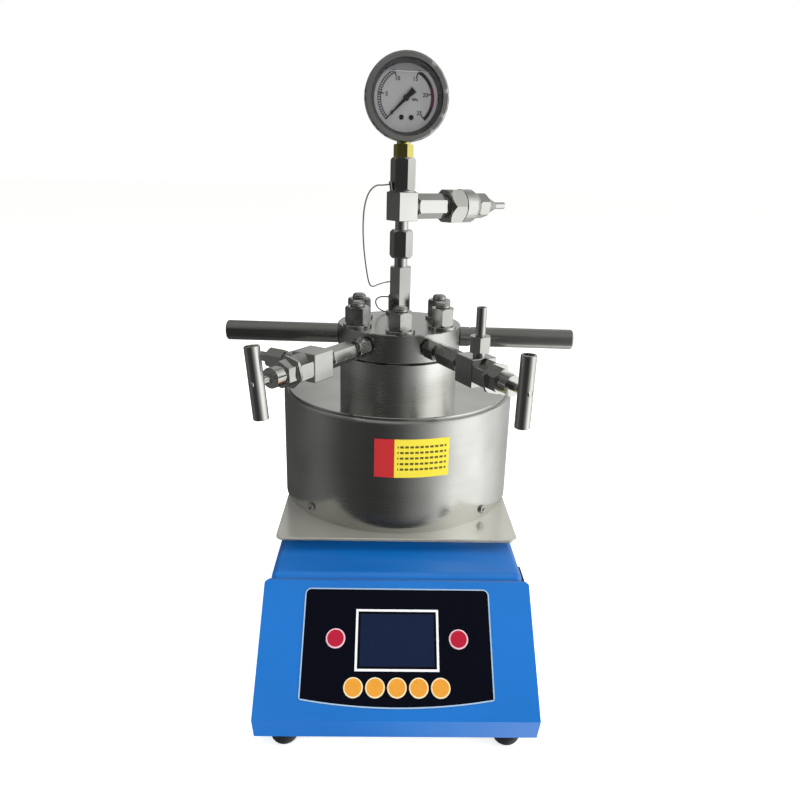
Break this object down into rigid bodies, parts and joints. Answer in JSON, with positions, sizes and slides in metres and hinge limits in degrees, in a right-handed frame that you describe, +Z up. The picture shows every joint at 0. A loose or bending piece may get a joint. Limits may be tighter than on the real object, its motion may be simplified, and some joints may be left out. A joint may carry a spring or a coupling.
{
  "type": "hydrothermal reactor",
  "caption": "Stainless pressure vessel with bolted lid, needle valves, gauge and burst-disc vent, in a round heating mantle on a blue magnetic stirrer with a sloping control console.",
  "frame": {"origin": "on the table, under the middle of the whole object as seen from above", "axes": "+Z up, -Y towards the control console, +X to the right of someone facing the console"},
  "size_m": [0.3004, 0.337, 0.471],
  "materials": {
    "blue_paint": "satin, moulded blue with a faint texture",
    "plate_enamel": "pale warm grey, white edge",
    "black_rubber": "matte black",
    "zinc_sheet": "plain sheet",
    "panel_film": "black film",
    "screen": "dark navy display",
    "red_key": "red",
    "orange_key": "orange",
    "board_green": "solder mask",
    "black_plastic": "moulded black",
    "socket_metal": "nickel",
    "motor_steel": "plated",
    "brushed_jacket": "brushed round the drum",
    "mirror_disc": "polished",
    "plain_steel": "plain",
    "cast_aluminium": "as cast",
    "wool": "ceramic wool",
    "label_film": "two-colour film",
    "vessel_steel": "turned, fine brushing",
    "ptfe": "white",
    "graphite": "graphite sheet",
    "fastener_steel": "bright stainless",
    "rod_steel": "brushed along the rod",
    "fitting_steel": "polished stainless",
    "wire_steel": "thin wire rope",
    "brass": "plain",
    "case_steel": "polished stainless",
    "dial_white": "printed dial",
    "glass": "clear",
    "pointer_black": "black"
  },
  "bodies": {
    "reactor": {"base_floor": "zinc_sheet", "burst_cap": "fitting_steel", "burst_holder": "fitting_steel", "circuit_boards": "board_green", "column_coupling": "fitting_steel", "console_cover": "blue_paint", "display_screen": "screen", "gauge_adapter": "fitting_steel", "gauge_case": "case_steel", "gauge_column": "fitting_steel", "gauge_dial": "dial_white", "gauge_socket": "brass", "gauge_window": "glass", "heater_well": "cast_aluminium", "housing_body": "blue_paint", "jacket_label": "label_film", "lid": "vessel_steel", "lid_gasket": "graphite", "lid_handles": "rod_steel", "lid_nuts": "fastener_steel", "lid_studs": "fastener_steel", "lid_washers": "fastener_steel", "mantle_base": "plain_steel", "mantle_disc": "mirror_disc", "mantle_insulation": "wool", "mantle_jacket": "brushed_jacket", "motor_bracket": "zinc_sheet", "outlet_nuts": "fitting_steel", "outlet_tubes": "fitting_steel", "panel_overlay": "panel_film", "power_inlet": "black_plastic", "rear_sockets": "socket_metal", "rubber_feet": "black_rubber", "small_screws": "fastener_steel", "stir_motor": "motor_steel", "switch_frame": "black_plastic", "tag_ring": "fitting_steel", "tee_block": "fitting_steel", "tether_wire": "wire_steel", "top_plate": "plate_enamel", "valve_blocks": "fitting_steel", "valve_bonnets": "fitting_steel", "valve_inlets": "fitting_steel", "vessel_body": "vessel_steel", "vessel_liner": "ptfe"},
    "heat_button": {"heat_button": "red_key"},
    "stir_button": {"stir_button": "red_key"},
    "key_set": {"key_set": "orange_key"},
    "key_shift": {"key_shift": "orange_key"},
    "key_down": {"key_down": "orange_key"},
    "key_up": {"key_up": "orange_key"},
    "key_time": {"key_time": "orange_key"},
    "switch_rocker": {"switch_rocker": "black_plastic"},
    "drive_rotor": {"drive_rotor": "motor_steel"},
    "stir_bar": {"stir_bar": "ptfe"},
    "left_valve_stem": {"left_valve_stem": "fitting_steel"},
    "left_valve_handle": {"left_valve_handle": "fitting_steel"},
    "right_valve_stem": {"right_valve_stem": "fitting_steel"},
    "right_valve_handle": {"right_valve_handle": "fitting_steel"},
    "gauge_pointer": {"gauge_pointer": "pointer_black"}
  },
  "joints": [
    {"name": "heat_button_press", "type": "slide", "parent": "reactor", "child": "heat_button", "axis": [0, 0.6782, -0.7349], "range_m": [0, 0.0006], "stiffness_N_per_m": 600, "springref_m": -0.0005},
    {"name": "stir_button_press", "type": "slide", "parent": "reactor", "child": "stir_button", "axis": [0, 0.6782, -0.7349], "range_m": [0, 0.0006], "stiffness_N_per_m": 600, "springref_m": -0.0005},
    {"name": "key_set_press", "type": "slide", "parent": "reactor", "child": "key_set", "axis": [0, 0.6782, -0.7349], "range_m": [0, 0.0006], "stiffness_N_per_m": 600, "springref_m": -0.0005},
    {"name": "key_shift_press", "type": "slide", "parent": "reactor", "child": "key_shift", "axis": [0, 0.6782, -0.7349], "range_m": [0, 0.0006], "stiffness_N_per_m": 600, "springref_m": -0.0005},
    {"name": "key_down_press", "type": "slide", "parent": "reactor", "child": "key_down", "axis": [0, 0.6782, -0.7349], "range_m": [0, 0.0006], "stiffness_N_per_m": 600, "springref_m": -0.0005},
    {"name": "key_up_press", "type": "slide", "parent": "reactor", "child": "key_up", "axis": [0, 0.6782, -0.7349], "range_m": [0, 0.0006], "stiffness_N_per_m": 600, "springref_m": -0.0005},
    {"name": "key_time_press", "type": "slide", "parent": "reactor", "child": "key_time", "axis": [0, 0.6782, -0.7349], "range_m": [0, 0.0006], "stiffness_N_per_m": 600, "springref_m": -0.0005},
    {"name": "power_rock", "type": "hinge", "parent": "reactor", "child": "switch_rocker", "pos_m": [0.0932, -0.0835, 0.086], "axis": [0, 0, 1], "range_deg": [0, 16]},
    {"name": "drive_spin", "type": "hinge", "parent": "reactor", "child": "drive_rotor", "pos_m": [0, 0.0475, 0.07], "axis": [0, 0, 1], "continuous": true},
    {"name": "bar_spin", "type": "hinge", "parent": "reactor", "child": "stir_bar", "pos_m": [0, 0.0475, 0.15], "axis": [0, 0, 1], "continuous": true},
    {"name": "left_stem_travel", "type": "slide", "parent": "reactor", "child": "left_valve_stem", "axis": [-0.5299, -0.848, 0], "range_m": [0, 0.00301]},
    {"name": "left_handle_turn", "type": "hinge", "parent": "left_valve_stem", "child": "left_valve_handle", "pos_m": [-0.09645, -0.10684, 0.2486], "axis": [-0.5299, -0.848, 0], "range_deg": [0, 1080]},
    {"name": "right_stem_travel", "type": "slide", "parent": "reactor", "child": "right_valve_stem", "axis": [0.4384, -0.8988, 0], "range_m": [0, 0.00301]},
    {"name": "right_handle_turn", "type": "hinge", "parent": "right_valve_stem", "child": "right_valve_handle", "pos_m": [0.07978, -0.11608, 0.2486], "axis": [0.4384, -0.8988, 0], "range_deg": [0, 1080]},
    {"name": "pointer_swing", "type": "hinge", "parent": "reactor", "child": "gauge_pointer", "pos_m": [0, 0.0475, 0.4382], "axis": [-0.1219, 0.9925, 0], "range_deg": [0, 270], "stiffness_Nm_per_rad": 0.0004, "springref_deg": -17.19}
  ],
  "couplings": [
    {"joint": "bar_spin", "follows": "drive_spin", "ratio": 1},
    {"joint": "left_stem_travel", "follows": "left_handle_turn", "m_per_rad": 0.00015915},
    {"joint": "right_stem_travel", "follows": "right_handle_turn", "m_per_rad": 0.00015915}
  ]
}
